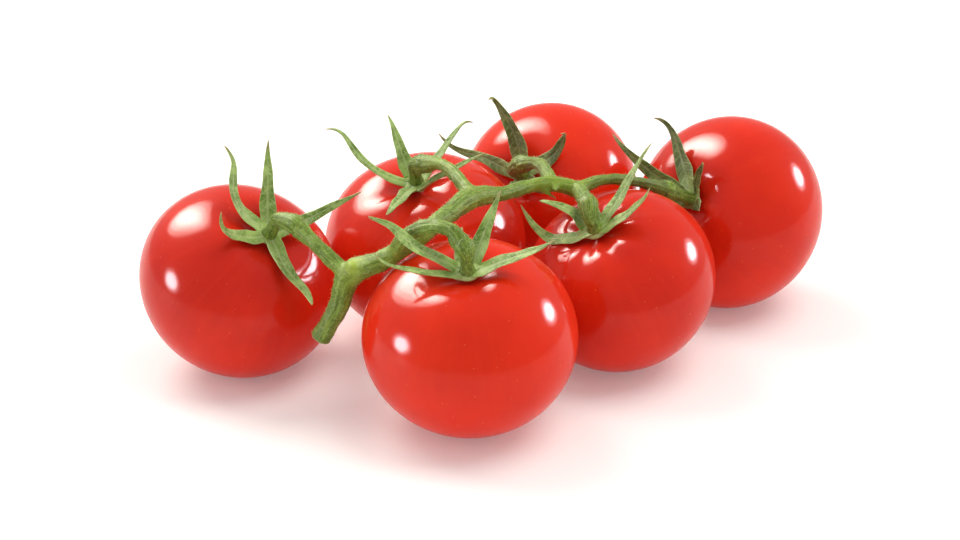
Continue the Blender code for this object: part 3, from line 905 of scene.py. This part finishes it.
def sepal_leaf(number):
    """Leafy green with a mottle of pale down and dark pits, a pale root, midrib, slanting
    veins and hem, and a dried tan tip.  With age the green browns and the marks fade."""
    finish = Finish(f"sepal_leaf_{number}", LEAF_BODY)
    place = finish.place()
    along, side, _ = finish.parts(finish.attribute("leaf"))
    edge = abs(side)
    age = AGES.get(number, FRESH_AGE)
    clouds = finish.step(finish.noise(place, scale=260.0, detail=3.0), low=0.3, high=0.75)
    fresh = finish.mix(clouds, "leaf dark", "leaf light")
    darker_tone = finish.mix(clouds, "aged leaf dark", "aged leaf light")
    colour = finish.mix(age, fresh, darker_tone)
    down = finish.step(finish.noise(place, scale=1100.0, detail=3.0, rough=0.7), low=0.5, high=0.68)
    colour = finish.mix(down * (0.55 - 0.4 * age), colour, "leaf down")
    pits = finish.step(finish.noise(place, scale=800.0, rough=0.6), low=0.46, high=0.32)
    colour = finish.mix(pits * 0.5, colour, "leaf pit")
    root = 1 - finish.step(along, low=0.0, high=0.3)
    colour = finish.mix(root * (0.55 - 0.4 * age), colour, "leaf root")
    midrib = 1 - finish.step(edge, low=0.05, high=0.22)
    colour = finish.mix(midrib * (0.5 - 0.3 * age), colour, "leaf midrib")
    slant = along * 64.0 + edge * 5.0
    veins = finish.step(slant.maths("SINE", slant), low=0.55, high=1.0)
    veins = veins * finish.step(edge, low=0.1, high=0.3)
    colour = finish.mix(veins * (0.3 - 0.15 * age), colour, "leaf vein")
    hem = finish.step(edge, low=0.82, high=0.99)
    colour = finish.mix(hem * 0.4, colour, "leaf hem")
    ragged = (finish.noise(place, scale=500.0) - 0.5) * 0.22
    dry = finish.step(along + ragged, low=0.86, high=0.98)
    colour = finish.mix(dry * 0.85, colour, "dry tip")
    normal = finish.bump(veins + midrib, relief=0.00006)
    normal = finish.bump(finish.noise(place, scale=1800.0), 0.00006, below=normal)
    finish.feed_shader(Base_Color=colour, Normal=normal,
                       Roughness=0.48 + 0.2 * finish.noise(place, scale=700.0))
    return finish.material


def green_stalk(name, seed, cut=False):
    """Juicy green stalk: pale and dark strands that run along it, mottled, with pale
    pimples and down, dark pits and pale hairs.  With cut it is the main stem's: yellower
    at its forks, darker toward its tip, and with the pale, moist face of a cut end."""
    finish = Finish(name, STALK_BODY)
    place = finish.place()
    strand = finish.stretch(finish.attribute("strand"), (3.2, 3.2, 0.09))
    lines = finish.noise(strand, scale=1.7, detail=4.0, rough=0.62)
    clouds = finish.noise(place, scale=150.0 + 4 * seed, detail=3.0)
    colour = finish.mix(finish.step(lines, low=0.36, high=0.68), "stalk dark", "stalk light")
    colour = finish.mix(finish.step(clouds, low=0.5, high=0.8) * 0.5, colour, "stalk yellow")
    colour = finish.mix(finish.step(clouds, low=0.5, high=0.25) * 0.45, colour, "stalk shade")
    pimples = 1 - finish.step(finish.cells(place, scale=1250.0), low=0.1, high=0.35)
    colour = finish.mix(pimples * 0.3, colour, "stalk pimple")
    down = finish.step(finish.noise(place, scale=1100.0, detail=3.0, rough=0.7), low=0.5, high=0.72)
    colour = finish.mix(down * 0.5, colour, "stalk down")
    pits = finish.step(finish.noise(place, scale=700.0, rough=0.6), low=0.46, high=0.32)
    colour = finish.mix(pits * 0.55, colour, "stalk pit")
    if cut:
        colour = finish.mix(finish.number("fork") * 0.5, colour, "fork green")
        colour = finish.mix(finish.number("pale") * 0.8, colour, "bud green")
        # Darker toward the +X end of the stem, blending in from 12 to 45 mm along X.
        darker_tone = finish.step(finish.parts(place)[0], low=0.012, high=0.045)
        colour = finish.mix(darker_tone * 0.5, colour, "stalk far end dark")
        pith = finish.mix(finish.noise(place, scale=1500.0, detail=3.0), "pith pale", "pith green")
        colour = finish.mix(finish.number("cut"), colour, pith)
    colour = finish.mix(finish.number("hair") * 0.7, colour, "hair")
    normal = finish.bump(lines, relief=0.00022)
    normal = finish.bump(pimples, 0.00005, below=normal)
    finish.feed_shader(Base_Color=colour, Normal=normal,
                       Roughness=0.4 + 0.18 * finish.noise(place, scale=600.0))
    return finish.material


def pale_glowing_floor():
    """Smooth pale studio floor with a faint mottle and a faint glow, which is painted light that
    lifts its shadows and lights the fruits from below.
    """
    finish = Finish("pale_glowing_floor", GLOWING_FLOOR_BODY)
    mottle = finish.noise(finish.place(), scale=3.0)
    finish.feed_shader(Base_Color=finish.mix(mottle, "floor", "floor light"))
    return finish.material


# ------------------------ studio
VIEW_AZIMUTH = -30
VIEW_ELEVATION = 25
VIEW_DISTANCE = 0.8          # this and the lamps' sizes are in metres
VIEW_LENS = 100.0            # in millimetres
SENSOR_WIDTH = 36.0          # in millimetres
AIM = Vector((-0.0106, -0.0018, 0.028))
FLOOR_REACH = 3.0            # from the middle to each side
ROOM_COLOUR = (1.0, 0.985, 0.955, 1.0)
ROOM_STRENGTH = 0.62
# Lamps: name, compass and elevation as the camera sees them, distance, width, height,
# radiance, colour and the surfaces that it shows on: dull, glossy or both.
# The key's glow is four panels of falling size in one place, so that it fades outward.
WARM = (1.0, 0.92, 0.84)
LAMPS = (
    ("key", -47, 46, 1.32, 1.0, 1.0, 4.2, (1.0, 0.95, 0.88), "both"),
    ("fill", 80, 62, 1.3, 1.0, 1.0, 3.4, (1.0, 0.95, 0.90), "dull"),
    ("glow_wide", -47, 46, 1.3, 0.86, 1.15, 6.0, WARM, "glossy"),
    ("glow_middle", -47, 46, 1.29, 0.66, 0.92, 12.0, WARM, "glossy"),
    ("glow_inner", -47, 46, 1.28, 0.46, 0.68, 14.0, WARM, "glossy"),
    ("glow_core", -47, 46, 1.27, 0.24, 0.40, 14.0, WARM, "glossy"),
    ("left_halo", -106, 12, 1.01, 0.42, 0.38, 8.0, (1.0, 0.92, 0.98), "glossy"),
    ("left_spot", -106, 12, 1.0, 0.29, 0.25, 40.0, (1.0, 0.94, 1.0), "glossy"),
    ("right_halo", 73, 22, 1.01, 0.42, 0.38, 8.0, (1.0, 0.92, 0.98), "glossy"),
    ("right_spot", 73, 22, 1.0, 0.29, 0.25, 40.0, (1.0, 0.94, 1.0), "glossy"),
)


def compass_vector(azimuth, elevation):
    """Unit vector toward a compass direction seen from the camera: 0 is straight away
    from it, 90 its right."""
    turn = math.radians(VIEW_AZIMUTH)
    a = math.radians(azimuth)
    e = math.radians(elevation)
    away = Vector((-math.sin(turn), math.cos(turn), 0))
    right = Vector((math.cos(turn), math.sin(turn), 0))
    flat = away * math.cos(a) + right * math.sin(a)
    return flat * math.cos(e) + Vector((0, 0, math.sin(e)))


def make_lamp(name, azimuth, elevation, distance, width, height, radiance, colour, surfaces):
    """Elliptical lamp that faces the truss.  Its power is pi times its area times its
    radiance."""
    lamp = bpy.data.lights.new(name, "AREA")
    lamp.shape = "ELLIPSE"
    lamp.size = width
    lamp.size_y = height
    lamp.energy = radiance * math.pi * (math.pi * width * height / 4)
    lamp.color = colour
    holder = add_to_scene(name, lamp)
    way = compass_vector(azimuth, elevation)
    holder.location = AIM + way * distance
    holder.rotation_euler = way.to_track_quat("Z", "Y").to_euler()
    holder.visible_camera = False
    holder.visible_diffuse = surfaces != "glossy"
    holder.visible_glossy = surfaces != "dull"


def make_studio():
    """Glowing floor, white surroundings, lamps and camera; the floor's glow is painted light."""
    mesh = bpy.data.meshes.new("floor")
    sides = ((-1, -1), (1, -1), (1, 1), (-1, 1))
    mesh.from_pydata([(FLOOR_REACH * x, FLOOR_REACH * y, 0) for x, y in sides], [], [(0, 1, 2, 3)])
    mesh.materials.append(pale_glowing_floor())
    add_to_scene("floor", mesh)
    world = bpy.data.worlds.new("white_room")
    world.use_nodes = True
    room = world.node_tree.nodes["Background"]
    room.inputs["Color"].default_value = ROOM_COLOUR
    room.inputs["Strength"].default_value = ROOM_STRENGTH
    bpy.context.scene.world = world
    for lamp in LAMPS:
        make_lamp(*lamp)
    lens = bpy.data.cameras.new("camera")
    lens.lens = VIEW_LENS
    lens.sensor_width = SENSOR_WIDTH
    lens.clip_start = 0.01
    camera = add_to_scene("camera", lens)
    back = compass_vector(180, VIEW_ELEVATION)
    camera.location = AIM + back * VIEW_DISTANCE
    camera.rotation_euler = back.to_track_quat("Z", "Y").to_euler()
    bpy.context.scene.camera = camera
    bpy.context.scene.view_settings.view_transform = "Standard"


# ------------------------ the truss
place_fruits()
for fruit_number in FRUITS:
    make_fruit(fruit_number)
    make_calyx(fruit_number)
    make_pedicel(fruit_number)
make_stem()
make_studio()
